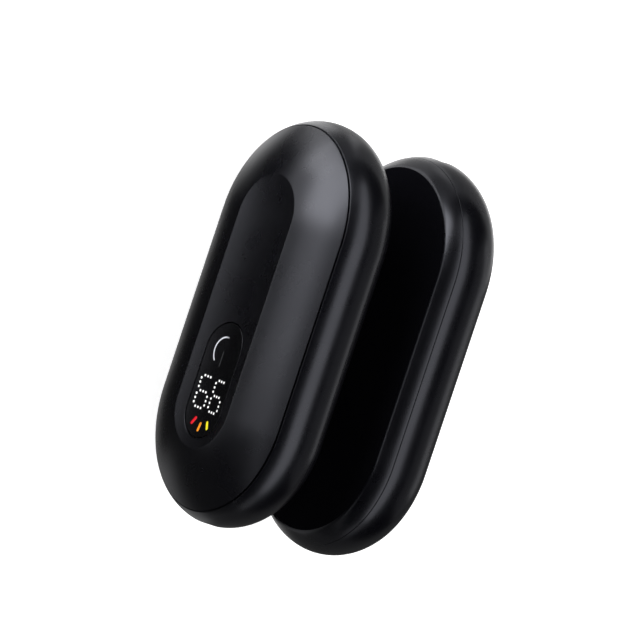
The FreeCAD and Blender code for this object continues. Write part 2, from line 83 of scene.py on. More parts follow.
# foot point and outward direction round a pill
def pillTrack(straight, centre=0.0, sideSteps=None, turnSteps=None):
    sides = sideSteps or form["sideSteps"]
    turns = turnSteps or form["turnSteps"]
    track = []
    for sign in (1, -1):
        for step in range(turns):
            angle = math.pi * (step / turns - 0.5)
            track.append((centre + sign * straight, sign * math.cos(angle), sign * math.sin(angle)))
        for step in range(sides):
            track.append((centre + sign * straight * (1 - 2 * step / sides), 0.0, float(sign)))
    return track


def pillLoop(track, out, height):
    return [(foot + out * dirX, out * dirY, height) for foot, dirX, dirY in track]


def bend(start, corner, end, steps):  # soft corner of a section
    points = []
    for step in range(steps + 1):
        t = step / steps
        points.append(tuple(
            (1 - t) ** 2 * a + 2 * t * (1 - t) * b + t ** 2 * c for a, b, c in zip(start, corner, end)))
    return points


def towards(start, end, distance):
    length = math.dist(start, end)
    return tuple(a + (b - a) * distance / length for a, b in zip(start, end))


def arcRun(first, last, steps, curve):  # points of a curve given as a function of the distance out
    return [(out, curve(out)) for out in (first + (last - first) * step / steps for step in range(steps + 1))]


def wallRun(low, high, steps, shift=0.0):  # points up the round wall, by equal turns
    start = math.asin((low - form["wallCentreHeight"]) / wallRadius)
    end = math.asin((high - form["wallCentreHeight"]) / wallRadius)
    run = []
    for step in range(steps + 1):
        angle = start + (end - start) * step / steps
        run.append((
            wallCentre + wallRadius * math.cos(angle) - shift,
            form["wallCentreHeight"] + wallRadius * math.sin(angle)))
    return run


def skin(mesh, rows):  # faces between each closed row of points and the next
    for lower, upper in zip(rows, rows[1:]):
        for number in range(len(lower)):
            following = (number + 1) % len(lower)
            mesh.faces.new((lower[number], lower[following], upper[following], upper[number]))


def smooth(data):
    for face in data.polygons:
        face.use_smooth = True
    data.set_sharp_from_angle(angle=math.radians(form["creaseAngle"]))


# skins a row of loops and seats the piece
def bridge(name, loops, closed, material, half, body, node):
    mesh = bmesh.new()
    rows = [[mesh.verts.new(point) for point in loop] for loop in loops]
    if closed:
        rows.append(rows[0])
    skin(mesh, rows)
    bmesh.ops.remove_doubles(mesh, verts=mesh.verts, dist=form["weldDistance"])
    bmesh.ops.dissolve_degenerate(mesh, edges=mesh.edges, dist=form["shortestEdge"])
    bmesh.ops.recalc_face_normals(mesh, faces=mesh.faces)
    return seat(name, mesh, material, half, body, node)


def seat(name, mesh, material, half, body, node):
    data = bpy.data.meshes.new(half + name)
    mesh.to_mesh(data)
    mesh.free()
    data.transform(halfMatrix(half))
    smooth(data)
    data.materials.append(material)
    piece = bpy.data.objects.new(half + name, data)
    bpy.context.scene.collection.objects.link(piece)
    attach(piece, half + body)
    if node:
        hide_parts(half + "_" + node)
    return piece


def toLinear(hexColour):
    channels = [int(hexColour[place:place + 2], 16) / 255 for place in (1, 3, 5)]
    return [c / 12.92 if c <= 0.04045 else ((c + 0.055) / 1.055) ** 2.4 for c in channels] + [1.0]


def addNode(tree, kind, settings=None, inputs=None):
    node = tree.nodes.new(kind)
    for name, value in (settings or {}).items():
        setattr(node, name, value)
    for name, value in (inputs or {}).items():
        if isinstance(value, bpy.types.NodeSocket):
            tree.links.new(value, node.inputs[name])
        else:
            node.inputs[name].default_value = value
    return node


def newMaterial(name):
    material = bpy.data.materials.new(name)
    material.use_nodes = True
    tree = material.node_tree
    return material, tree, tree.nodes["Principled BSDF"]


pattern = {
    "patchDetail": 3.0,
    "patchRoughness": 0.55,
    "grainDetail": 2.0,
    "grainRoughness": 0.5,
    "low": 0.3,  # the noise stays mostly between low and high
    "high": 0.7,
}


# one recipe for the moulded, painted, rolled and plated finishes: two close shades, uneven polish, fine grain, and
# a bluish tint of the reflections, which paints in the cool colour of the light
def finish(
        name, dark, light, patchMm, grainMm, grainHeightMm, roughLow, roughHigh,
        metallic=0.0, ior=1.5, paintedCoolTint=None):
    material, tree, shader = newMaterial(name)
    place = addNode(tree, "ShaderNodeTexCoord").outputs["Object"]
    patches = addNode(tree, "ShaderNodeTexNoise", None, {
        "Vector": place, "Scale": 1 / (patchMm * mm),
        "Detail": pattern["patchDetail"], "Roughness": pattern["patchRoughness"]}).outputs["Fac"]
    shades = addNode(tree, "ShaderNodeMix", {"data_type": "RGBA"}, {
        0: patches, 6: toLinear(dark), 7: toLinear(light)}).outputs[2]
    polish = addNode(tree, "ShaderNodeMapRange", None, {
        "Value": patches, "From Min": pattern["low"], "From Max": pattern["high"],
        "To Min": roughLow, "To Max": roughHigh})
    grain = addNode(tree, "ShaderNodeTexNoise", None, {
        "Vector": place, "Scale": 1 / (grainMm * mm),
        "Detail": pattern["grainDetail"], "Roughness": pattern["grainRoughness"]}).outputs["Fac"]
    bump = addNode(tree, "ShaderNodeBump", None, {
        "Height": grain, "Distance": grainHeightMm * mm, "Strength": 1.0})
    tree.links.new(shades, shader.inputs["Base Color"])
    tree.links.new(polish.outputs["Result"], shader.inputs["Roughness"])
    tree.links.new(bump.outputs["Normal"], shader.inputs["Normal"])
    shader.inputs["Metallic"].default_value = metallic
    if not metallic:
        shader.inputs["IOR"].default_value = ior
    # bluish reflections: painted cool light, not a colour of the material
    if paintedCoolTint:
        shader.inputs["Specular Tint"].default_value = toLinear(paintedCoolTint)
    return material


# satin black ABS, moulded on a fine eroded tool: near black, with a soft wide sheen; the tool's grain, really about
# 0.05 mm, is drawn coarser so that it shows; the bluish tint of its reflections is painted cool light
satinAbs = finish(
    "satinMouldedAbs", "#040407", "#07070b", 9.0, 0.3, 0.0006, 0.26, 0.30, ior=1.53, paintedCoolTint="#f0f2ff")
# the same ABS on the contact side, with a slightly finer grain
contactAbs = finish(
    "fineMouldedAbs", "#040407", "#07070b", 9.0, 0.25, 0.0006, 0.26, 0.30, ior=1.53, paintedCoolTint="#f0f2ff")
# soft-touch black paint on the flat contact face: takes up nearly all light
facePaint = finish("softTouchPaint", "#0c0c10", "#101014", 7.0, 0.2, 0.0008, 0.5, 0.6)
facePaint.node_tree.nodes["Principled BSDF"].inputs["Specular IOR Level"].default_value = 0.0
# smoked polycarbonate, moulded with a satin face: a shade darker and smoother than the case
smokedPanel = finish(
    "smokedPolycarbonate", "#020203", "#040405", 6.0, 0.5, 0.0002, 0.23, 0.26, paintedCoolTint="#f0f2ff")

# dome, dish and key opening of the outer cover
cover = {
    "dishHalfWidth": 10.7,
    "dishDepth": 1.35,
    "dishFarReach": 1.5,  # the dish runs on this much further at the end away from the port
    "dishWall": 1.8,
    "rimSoftness": 0.16,  # how far the dish's rim is rounded each way
    "edgeSoftness": 0.15,
    "innerLoop": 9.0,  # last loop that follows the case's outline
    "lipOuter": 22.17,
    "lipInner": 21.17,
    "lipBottom": 12.875,
    "ceilingHalfWidth": 16.0,
    "keyGap": 0.2,
    "openingSoftness": 0.12,
    "openingDepth": 1.0,
    "rimSearch": 6.0,  # how far past the inner loop the dish's rim is looked for
    "rimHalvings": 40,
    "dishSteps": 40,
    "dishCrowding": 1.3,  # draws the dish's loops closer together near the key
    "innerSteps": 6,
    "lipSteps": 4,
    "rimSteps": 8,
    "edgeSteps": 5,
    "domeSteps": 40,
}
key = {
    "centre": 16.45,
    "halfLength": 14.05,
    "halfWidth": 6.9,
    "flangeWidth": 1.4,
    "flangeThickness": 1.05,
    "restGap": 0.05,
    "edgeSoftness": 0.12,
    "edgeSteps": 5,
    "faceSteps": 24,
}
coverEdge = wallAt(form["coverBottom"])
domeSag = form["domeHeight"] - form["coverBottom"]
domeRadius = (coverEdge ** 2 + domeSag ** 2) / (2 * domeSag)


def domeAt(out):
    return form["domeHeight"] - domeRadius + math.sqrt(domeRadius ** 2 - out ** 2)


dishRadius = (cover["dishHalfWidth"] ** 2 + cover["dishDepth"] ** 2) / (2 * cover["dishDepth"])
dishBottom = domeAt(cover["dishHalfWidth"]) - cover["dishDepth"]
ceiling = dishBottom - cover["dishWall"]


def dishOver(x, y):  # height of the dish above a point of the plan
    foot = min(max(x, -form["straightHalf"] - cover["dishFarReach"]), form["straightHalf"])
    return dishBottom + dishRadius - math.sqrt(dishRadius ** 2 - (x - foot) ** 2 - y ** 2)


keyStraight = key["halfLength"] - key["halfWidth"]
keyBottom = ceiling - key["restGap"] - key["flangeThickness"]


def openingPoint(x, y, radius):  # nearest point of the key opening's edge
    foot = min(max(x, key["centre"] - keyStraight), key["centre"] + keyStraight)
    away = math.hypot(x - foot, y)
    return foot + (x - foot) / away * radius, y / away * radius


def rimDistance(foot, dirX, dirY):  # where the dish comes out through the dome
    low, high = cover["innerLoop"], cover["innerLoop"] + cover["rimSearch"]
    for _ in range(cover["rimHalvings"]):
        middle = (low + high) / 2
        if dishOver(foot + middle * dirX, middle * dirY) < domeAt(middle):
            low = middle
        else:
            high = middle
    return low


def makeOuterCover(half):
    track = pillTrack(form["straightHalf"])
    rims = [rimDistance(*ray) for ray in track]
    inner = cover["innerLoop"]
    soft = cover["rimSoftness"]
    opening = key["halfWidth"] + cover["keyGap"]
    fillet = cover["openingSoftness"]
    outerEdge = coverEdge - cover["edgeSoftness"]
    starts = [(foot + inner * dirX, inner * dirY) for foot, dirX, dirY in track]
    loops = []
    lip = [(opening, cover["openingDepth"]), (opening, fillet)]
    lip += bend((opening, fillet), (opening, 0.0), (opening + fillet, 0.0), cover["lipSteps"])[1:]
    for out, drop in lip:  # opening's wall with its softened lip
        spots = [openingPoint(x, y, out) for x, y in starts]
        loops.append([(x, y, dishOver(x, y) - drop) for x, y in spots])
    for step in range(1, cover["dishSteps"]):  # dish, out from the opening
        t = (step / cover["dishSteps"]) ** cover["dishCrowding"]
        loop = []
        for x, y in starts:
            nearX, nearY = openingPoint(x, y, opening + fillet)
            flatX, flatY = nearX + (x - nearX) * t, nearY + (y - nearY) * t
            loop.append((flatX, flatY, dishOver(flatX, flatY)))
        loops.append(loop)
    rows = []
    for (foot, dirX, dirY), rim in zip(track, rims):  # dish, rim and dome along each ray
        outs = [inner + (rim - soft - inner) * step / cover["innerSteps"] for step in range(cover["innerSteps"])]
        ray = [(out, dishOver(foot + out * dirX, out * dirY)) for out in outs]
        low = (rim - soft, dishOver(foot + (rim - soft) * dirX, (rim - soft) * dirY))
        ray += bend(low, (rim, domeAt(rim)), (rim + soft, domeAt(rim + soft)), cover["rimSteps"])
        ray += arcRun(rim + soft, outerEdge, cover["domeSteps"], domeAt)[1:]
        rows.append([(foot + out * dirX, out * dirY, height) for out, height in ray])
    loops += [list(loop) for loop in zip(*rows)]
    under = bend(
        (outerEdge, domeAt(outerEdge)), (coverEdge, form["coverBottom"]), (outerEdge, form["coverBottom"]),
        cover["edgeSteps"])[1:]
    under += [
        (cover["lipOuter"], form["coverBottom"]), (cover["lipOuter"], cover["lipBottom"]),
        (cover["lipInner"], cover["lipBottom"]), (cover["lipInner"], form["coverBottom"]),
        (cover["ceilingHalfWidth"], ceiling), (inner, ceiling)]
    loops += [pillLoop(track, out, height) for out, height in under]
    loops.append([(*openingPoint(x, y, opening), ceiling) for x, y in starts])
    return bridge("OuterCover", loops, True, satinAbs, half, "_half", "outer_cover")


# round side wall between the two seams
frameWall = {
    "wall": 2.2,
    "edgeSoftness": 0.05,
    "edgeSteps": 4,
    "outerSteps": 56,
    "innerSteps": 16,
}
# hole for the charging socket, which flares a little at the outside
port = {
    "width": 8.94,
    "thickness": 3.26,
    "clearance": 0.25,
    "flare": 0.35,
    "flareStart": 0.1,  # how far in from the wall's end the flare is full
    "depth": 4.0,
    "reach": 1.0,  # how far the cutter stands out
    "sideSteps": 8,
    "turnSteps": 20,
}


def makeSideFrame(half):
    soft = frameWall["edgeSoftness"]
    low = form["frameBottom"]
    high = form["frameShoulder"]
    topInside = coverEdge - frameWall["wall"]
    seatOut = wallAt(high) - form["grooveDepth"]
    fine = form["innerSoftness"]
    outer = wallRun(low + fine, high - soft, frameWall["outerSteps"])
    section = bend((wallAt(low) - fine, low), (wallAt(low), low), outer[0], frameWall["edgeSteps"])
    section += outer[1:-1]
    section += bend(outer[-1], (wallAt(high), high), (wallAt(high) - soft, high), frameWall["edgeSteps"])
    section += [(seatOut, high), (seatOut, form["coverBottom"]), (topInside, form["coverBottom"])]
    inside = wallRun(low, form["coverBottom"], frameWall["innerSteps"], frameWall["wall"])
    section += list(reversed(inside))[1:]
    loops = [pillLoop(pillTrack(form["straightHalf"]), out, height) for out, height in section]
    piece = bridge("SideFrame", loops, True, satinAbs, half, "_half", "side_frame")
    cutter = makePortCutter(half)
    cut = piece.modifiers.new("port", "BOOLEAN")
    cut.object = cutter
    cut.operation = "DIFFERENCE"
    cut.solver = "EXACT"
    bpy.context.view_layer.update()
    evaluated = piece.evaluated_get(bpy.context.evaluated_depsgraph_get())
    opened = bpy.data.meshes.new_from_object(evaluated)
    piece.modifiers.clear()
    old = piece.data
    piece.data = opened
    bpy.data.meshes.remove(old)
    bpy.data.objects.remove(cutter)
    smooth(piece.data)
    return piece


def makePortCutter(half):
    mesh = bmesh.new()
    endOut = form["straightHalf"] + form["halfWidth"]
    radius = port["thickness"] / 2 + port["clearance"]
    straight = (port["width"] - port["thickness"]) / 2
    flare, start, reach = port["flare"], port["flareStart"], port["reach"]
    stations = [
        (endOut - port["depth"], 0.0), (endOut - flare - start, 0.0),
        (endOut - start, flare), (endOut + reach, flare + start + reach)]
    track = pillTrack(straight, 0.0, port["sideSteps"], port["turnSteps"])
    rows = []
    for x, grow in stations:
        loop = pillLoop(track, radius + grow, 0)
        rows.append([mesh.verts.new((x, along, form["wallCentreHeight"] + across)) for along, across, _ in loop])
    skin(mesh, rows)
    mesh.faces.new(rows[0])
    mesh.faces.new(rows[-1])
    bmesh.ops.recalc_face_normals(mesh, faces=mesh.faces)
    data = bpy.data.meshes.new("portCutter")
    mesh.to_mesh(data)
    mesh.free()
    data.transform(halfMatrix(half))
    cutter = bpy.data.objects.new("portCutter", data)
    bpy.context.scene.collection.objects.link(cutter)
    return cutter


# flat-faced cover on the contact side
contact = {
    "wall": 1.6,
    "lipOuter": 23.3,
    "lipThickness": 1.4,
    "lipHeight": 1.3,
    "faceSetBack": 0.02,  # hair of room between the two faces when the halves are together
    "faceLoops": (0.0, 8.0, 16.0),
    "faceMargin": 1.0,
    "edgeSteps": 16,
    "wallSteps": 16,
    "seamSteps": 4,
    "paintedFlatness": 0.999,
    "paintedDepth": 0.1,
}


def makeContactCover(half):
    soft = form["innerSoftness"]
    inner = wallRadius - form["faceEdgeRadius"]
    rise = form["wallCentreHeight"] - form["faceEdgeRadius"]
    flatEdge = wallCentre + math.sqrt(inner ** 2 - rise ** 2)
    turn = math.asin(rise / inner)
    face = contact["faceSetBack"]
    section = [(out, face) for out in (*contact["faceLoops"], flatEdge - contact["faceMargin"])]
    for step in range(contact["edgeSteps"] + 1):  # rounded edge from the flat face into the wall
        angle = -math.pi / 2 + (math.pi / 2 - turn) * step / contact["edgeSteps"]
        section.append((
            flatEdge + form["faceEdgeRadius"] * math.cos(angle),
            max(face, form["faceEdgeRadius"] + form["faceEdgeRadius"] * math.sin(angle))))
    top = form["contactTop"]
    wall = wallRun(section[-1][1], top - soft, contact["wallSteps"])
    section += wall[1:]
    section += bend(wall[-1], (wallAt(top), top), (wallAt(top) - soft, top), contact["seamSteps"])[1:]
    lipInner = contact["lipOuter"] - contact["lipThickness"]
    lipTop = form["frameBottom"] + contact["lipHeight"]
    seatOut = wallAt(top) - form["innerGrooveDepth"]
    section += [
        (seatOut, top), (seatOut, form["frameBottom"]), (contact["lipOuter"], form["frameBottom"]),
        (contact["lipOuter"], lipTop), (lipInner, lipTop), (lipInner, contact["wall"]), (0.0, contact["wall"])]
    loops = [pillLoop(pillTrack(form["straightHalf"]), out, height) for out, height in section]
    piece = bridge("ContactCover", loops, False, contactAbs, half, "_half", "contact_cover")
    piece.data.materials.append(facePaint)
    facing = 1 if half == "front" else -1
    deepest = (form["halvesGap"] / 2 + contact["paintedDepth"]) * mm
    for face in piece.data.polygons:  # the flat face alone is painted
        if face.normal.y * facing > contact["paintedFlatness"] and abs(face.center.y) < deepest:
            face.material_index = 1
    return piece


def makeDisplayKey(half):
    track = pillTrack(keyStraight, key["centre"])
    soft = key["edgeSoftness"]
    width = key["halfWidth"]
    loops = []
    for step in range(key["faceSteps"] + 1):  # dished face, from its middle line outwards
        out = (width - soft) * step / key["faceSteps"]
        loops.append([(x, y, dishOver(x, y)) for x, y, _ in pillLoop(track, out, 0)])
    for out, drop in bend((width - soft, 0.0), (width, 0.0), (width, soft), key["edgeSteps"])[1:]:
        loops.append([(x, y, dishOver(x, y) - drop) for x, y, _ in pillLoop(track, out, 0)])
    flangeTop = keyBottom + key["flangeThickness"]
    flangeOut = width + key["flangeWidth"]
    for out, height in ((width, flangeTop), (flangeOut, flangeTop), (flangeOut, keyBottom), (0.0, keyBottom)):
        loops.append(pillLoop(track, out, height))
    return bridge("DisplayKey", loops, False, smokedPanel, half, "_key", "display_key")


for half in ("front", "rear"):
    makeOuterCover(half)
    makeSideFrame(half)
    makeContactCover(half)
    makeDisplayKey(half)
print("cases made")

# signs on the key, as up and right of the key's middle in mm, read with the port end down: the digits and bars are
# lit, while the glow of the power sign's ring and line is a painted highlight of its engraved groove
signs = {
    "height": 0.03,
    "depth": 0.08,
    "edgeLift": 0.004,
    "crownShare": 0.55,  # flat part of a strip's lens-shaped section
    "tipReach": 0.0005,  # least half width, at the very tips
    "capSteps": 6,
    "arcSteps": 96,
    "closest": 0.004,  # least distance between points of a path
    "slopeStep": 0.01,
    "dotSize": 0.6,
    "dotSpacing": 1.06,
    "digitRows": (0.27, -3.43, -7.30),
    "digitColumns": ((-5.13, -1.05), (0.62, 4.80)),
    "powerMiddle": (6.92, -0.4),
    "powerRadius": 3.53,
    "powerStart": 222.0,  # stretch of the ring that carries the painted highlight, in degrees clockwise from the top
    "powerEnd": 368.0,
    "powerWidth": 0.34,
    "powerHighlightFade": (-1.6, 0.8),  # heights from the axis between which the arc's painted highlight fades out
    "powerLine": (0.1, -3.7),
    "lineWidth": 0.3,
    "barWidth": 0.8,
    "barLength": 2.3,
    "bars": {"Red": (-10.50, -2.70, -28.0), "Amber": (-11.46, 0.17, 0.0), "Yellow": (-10.50, 2.98, 34.0)},
}


def keySpot(up, right, lift):  # point above the key's dished face
    x = key["centre"] - up
    y = right
    step = signs["slopeStep"]
    slopeX = (dishOver(x + step, y) - dishOver(x - step, y)) / (2 * step)
    slopeY = (dishOver(x, y + step) - dishOver(x, y - step)) / (2 * step)
    normal = Vector((-slopeX, -slopeY, 1)).normalized()
    return Vector((x, y, dishOver(x, y))) + normal * lift


def ribbon(mesh, path, width):  # low lens-shaped strip with round ends along a path on the key
    lengths = [0.0]
    for before, after in zip(path, path[1:]):
        lengths.append(lengths[-1] + math.dist(before, after))
    total = lengths[-1]
    half = width / 2
    edge, depth, flat = signs["edgeLift"], signs["depth"], signs["crownShare"]
    rows = []
    for number, (up, right) in enumerate(path):
        before = path[max(number - 1, 0)]
        after = path[min(number + 1, len(path) - 1)]
        runUp, runRight = towards((0, 0), (after[0] - before[0], after[1] - before[1]), 1)
        nearEnd = min(lengths[number], total - lengths[number], half)
        reach = half * math.sqrt(max(1 - ((half - nearEnd) / half) ** 2, 0)) + signs["tipReach"]
        crown = signs["height"] * reach / half
        row = []
        for share, lift in ((-1, -depth), (-1, edge), (-flat, crown), (flat, crown), (1, edge), (1, -depth)):
            row.append(mesh.verts.new(keySpot(up - runRight * share * reach, right + runUp * share * reach, lift)))
        rows.append(row)
    skin(mesh, rows)
    mesh.faces.new(rows[0])
    mesh.faces.new(list(reversed(rows[-1])))


def straightPath(start, end, width):  # closer steps where the ends are round
    total = math.dist(start, end)
    steps = signs["capSteps"]
    caps = [width / 2 * (1 - math.cos(math.pi / 2 * step / steps)) for step in range(steps + 1)]
    stops = caps + [total - stop for stop in reversed(caps)]
    return [towards(start, end, stop) for stop in stops]


def tidyPath(path):  # leaves out points that fall together
    kept = [path[0]]
    for point in path[1:]:
        if math.dist(point, kept[-1]) > signs["closest"]:
            kept.append(point)
    return kept


panelLight = {"mottleMm": 0.8, "mottleDetail": 1.0, "unevenness": 0.1, "panelColour": "#101012", "roughness": 0.25}


def glow(name, colour, strength, fade=None):  # fade: heights in metres between which the light goes out, as the power ring's painted highlight does
    material, tree, shader = newMaterial(name)
    place = addNode(tree, "ShaderNodeTexCoord").outputs["Object"]
    mottle = addNode(tree, "ShaderNodeTexNoise", None, {
        "Vector": place, "Scale": 1 / (panelLight["mottleMm"] * mm), "Detail": panelLight["mottleDetail"]})
    uneven = panelLight["unevenness"]
    level = addNode(tree, "ShaderNodeMapRange", None, {
        "Value": mottle.outputs["Fac"], "From Min": pattern["low"], "From Max": pattern["high"],
        "To Min": strength * (1 - uneven), "To Max": strength * (1 + uneven)}).outputs["Result"]
    if fade:
        height = addNode(tree, "ShaderNodeSeparateXYZ", None, {"Vector": place}).outputs["Z"]
        share = addNode(tree, "ShaderNodeMapRange", {"interpolation_type": "SMOOTHSTEP"}, {
            "Value": height, "From Min": fade[0], "From Max": fade[1],
            "To Min": 1.0, "To Max": 0.0}).outputs["Result"]
        level = addNode(tree, "ShaderNodeMath", {"operation": "MULTIPLY"}, {0: level, 1: share}).outputs["Value"]
    shader.inputs["Base Color"].default_value = toLinear(panelLight["panelColour"])
    shader.inputs["Roughness"].default_value = panelLight["roughness"]
    shader.inputs["Emission Color"].default_value = toLinear(colour)
    tree.links.new(level, shader.inputs["Emission Strength"])
    return material


# light of small lamps through the smoked panel: flat and clear, a little uneven; the same glow draws the power
# sign's ring and line as a painted highlight
glowWhite = glow("whiteLampLight", "#ffffff", 1.2)
# the power ring glows as a painted highlight of its engraved groove, fading out towards its top end
powerHighlightFade = [(form["halfWidth"] + height) * mm for height in signs["powerHighlightFade"]]
powerHighlightGlow = glow("paintedPowerSignHighlight", "#f4f6ff", 0.85, powerHighlightFade)
# the power line's dim glow is a painted highlight on its engraved groove
powerLineHighlightGlow = glow("paintedPowerLineHighlight", "#c8ccd4", 0.03)
glowBars = {
    "Red": glow("redLampLight", "#f01426", 1.0),
    "Amber": glow("amberLampLight", "#ff9a1c", 1.0),
    "Yellow": glow("yellowLampLight", "#fff02a", 1.0),
}


def makeSigns(half):
    size = signs["dotSize"]
    mesh = bmesh.new()
    for left, right in signs["digitColumns"]:
        top, middle, bottom = signs["digitRows"]
        centre = (left + right) / 2
        spots = [(row, centre + step * signs["dotSpacing"]) for row in signs["digitRows"] for step in (-1, 0, 1)]
        for column, low, high in ((left, middle, top), (left, bottom, middle), (right, bottom, middle)):
            spots += [((low + high) / 2 + step * signs["dotSpacing"], column) for step in (-1, 0, 1)]
        for up, across in spots:
            ribbon(mesh, tidyPath(straightPath((up + size / 2, across), (up - size / 2, across), size)), size)
    bmesh.ops.recalc_face_normals(mesh, faces=mesh.faces)
    seat("LitDigits", mesh, glowWhite, half, "_key", None)
    # the power sign's ring and line, drawn as glowing strips that paint its highlight
    middleUp, middleRight = signs["powerMiddle"]
    mesh = bmesh.new()
    arc = []
    radius = signs["powerRadius"]
    sweep = signs["powerEnd"] - signs["powerStart"]
    for step in range(signs["arcSteps"] + 1):
        turn = math.radians(signs["powerStart"] + sweep * step / signs["arcSteps"])
        arc.append((middleUp + radius * math.cos(turn), middleRight + radius * math.sin(turn)))
    ribbon(mesh, arc, signs["powerWidth"])
    bmesh.ops.recalc_face_normals(mesh, faces=mesh.faces)
    seat("PowerArc", mesh, powerHighlightGlow, half, "_key", None)
    # the power line, whose glow is a painted highlight
    mesh = bmesh.new()
    start, end = ((middleUp + up, middleRight) for up in signs["powerLine"])
    ribbon(mesh, tidyPath(straightPath(start, end, signs["lineWidth"])), signs["lineWidth"])
    bmesh.ops.recalc_face_normals(mesh, faces=mesh.faces)
    seat("PowerLine", mesh, powerLineHighlightGlow, half, "_key", None)
    for colour, (up, right, lean) in signs["bars"].items():
        mesh = bmesh.new()
        reach = signs["barLength"] / 2
        leanUp, leanRight = math.cos(math.radians(lean)) * reach, -math.sin(math.radians(lean)) * reach
        start, end = (up + leanUp, right + leanRight), (up - leanUp, right - leanRight)
        ribbon(mesh, tidyPath(straightPath(start, end, signs["barWidth"])), signs["barWidth"])
        bmesh.ops.recalc_face_normals(mesh, faces=mesh.faces)
        seat(colour + "Bar", mesh, glowBars[colour], half, "_key", None)


for half in ("front", "rear"):
    makeSigns(half)
print("signs made")

# inner pieces keep their solids and get the finish of what they are: dark and light shade, sizes of the patches and
# the grain and the grain's height in mm, low and high roughness
innerFinishes = {
    "key_carrier": finish("whiteReflectorPolycarbonate", "#d8d8d4", "#e6e6e2", 4.0, 0.4, 0.002, 0.4, 0.5, ior=1.58),
    "main_board": finish("solderMaskedLaminate", "#0f3d22", "#155030", 1.2, 0.4, 0.004, 0.3, 0.45),
    "board_screws": finish("zincPlatedSteel", "#8f9296", "#a8abaf", 0.5, 0.2, 0.002, 0.28, 0.4, metallic=1.0),
    "switch_body": finish("mouldedNylon", "#141415", "#1c1c1e", 1.0, 0.2, 0.002, 0.45, 0.55),
    "switch_plunger": finish("greyAcetal", "#5a5c60", "#6a6c70", 0.8, 0.2, 0.001, 0.35, 0.45),
    "power_led": finish("clearLampEpoxy", "#dcdcd6", "#f0f0ea", 0.5, 0.2, 0.001, 0.15, 0.25),
    "red_led": finish("redLampEpoxy", "#a01818", "#c02020", 0.5, 0.2, 0.001, 0.15, 0.25),
    "amber_led": finish("amberLampEpoxy", "#c06a10", "#d88018", 0.5, 0.2, 0.001, 0.15, 0.25),
    "yellow_led": finish("yellowLampEpoxy", "#c8a818", "#e0c020", 0.5, 0.2, 0.001, 0.15, 0.25),
    "usb_shell": finish("drawnNickelSteel", "#8c8d8f", "#a6a7a9", 1.0, 0.12, 0.001, 0.22, 0.34, metallic=1.0),
    "usb_tongue": finish("blackLiquidCrystalPolymer", "#101011", "#171718", 0.8, 0.15, 0.001, 0.4, 0.5),
    "heat_spreader": finish("rolledAluminium", "#b4b6b8", "#c6c8ca", 3.0, 0.2, 0.002, 0.3, 0.42, metallic=1.0),
    "heater_film": finish("polyimideFilm", "#8a4a12", "#a45c1a", 2.0, 0.3, 0.001, 0.18, 0.28, ior=1.7),
    "battery_pad": finish("closedCellFoam", "#1c1c1d", "#29292a", 0.8, 0.35, 0.03, 0.8, 0.95),
    "battery": finish("foilPouchLaminate", "#9a9da2", "#b0b3b8", 5.0, 0.8, 0.01, 0.32, 0.45, metallic=1.0),
    "thermistor": finish("dippedEpoxyBead", "#0c0c0c", "#161616", 0.6, 0.2, 0.002, 0.2, 0.3),
    "magnets": finish("nickelPlatedMagnet", "#a8a59e", "#bdbab3", 2.0, 0.3, 0.001, 0.15, 0.25, metallic=1.0),
}
innerFinishes["charge_board"] = innerFinishes["main_board"]
innerFinishes["digit_leds"] = innerFinishes["power_led"]
for nodeName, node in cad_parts.items():
    piece = nodeName.split("_", 1)[1]
    if piece in innerFinishes:
        node.data.materials.clear()
        node.data.materials.append(innerFinishes[piece])
print("inner pieces finished")

# floor that reads white, with the shadow left on it
studio = {
    "floorSize": 6.0,
    "floorColour": "#e6e6e6",
    "floorLightColour": "#ececec",
    "floorMottleMm": 60.0,
    "floorMottleDetail": 2.0,
    "floorRoughness": 0.9,
    "cardColour": "#030303",
    "floorLift": 0.85,  # light of its own that the eye, glass and gloss see
    "worldColour": "#0c0c0d",
}
# soft-edged cards on the floor that only reflections see, by low and high corner in mm, width of the soft edge and
# grey: the dark ones keep the pale floor from greying the black cases, the pale ones light the cases' rims
cards = {
    "nearCard": {"low": (-66, -62), "high": (140, -33), "soft": (26, 6), "grey": 0.02},
    "underCard": {"low": (-72, -60), "high": (140, -17), "soft": (24, 9), "grey": 0.02},
    "rimCard": {"low": (-66, -34), "high": (-24, -14), "soft": (10, 6), "grey": 0.08},
    "limbCard": {"low": (-75, -30), "high": (-24, -8), "soft": (22, 9), "grey": 1.5},
    "midCard": {"low": (-70, -146), "high": (160, -66), "soft": (35, 35), "grey": 0.0},
    "leftCard": {"low": (-110, -92), "high": (-32, -60), "soft": (20, 10), "grey": 0.5},
    "awayCard": {"low": (-700, -400), "high": (-75, 20), "soft": (30, 25), "grey": 0.32},
    "sideCard": {"low": (15, -420), "high": (2900, 10), "soft": (40, 40), "grey": 0.05},
    "portEndCard": {"low": (30, -45), "high": (2900, 2900), "soft": (40, 40), "grey": 0.11},
    "footCard": {"low": (36, -36), "high": (95, 6), "soft": (14, 12), "grey": 0.42},
    "farEndCard": {"low": (-700, 10), "high": (-62, 600), "soft": (25, 25), "grey": 0.35},
    "topCard": {"low": (-104, -12), "high": (-50, 30), "soft": (12, 12), "grey": 0.6},
    "backCard": {"low": (-49, 15), "high": (110, 700), "soft": (15, 25), "grey": 0.08},
    "gapCard": {"low": (-29, -16), "high": (60, 16), "soft": (5, 5), "grey": 0.0},
}


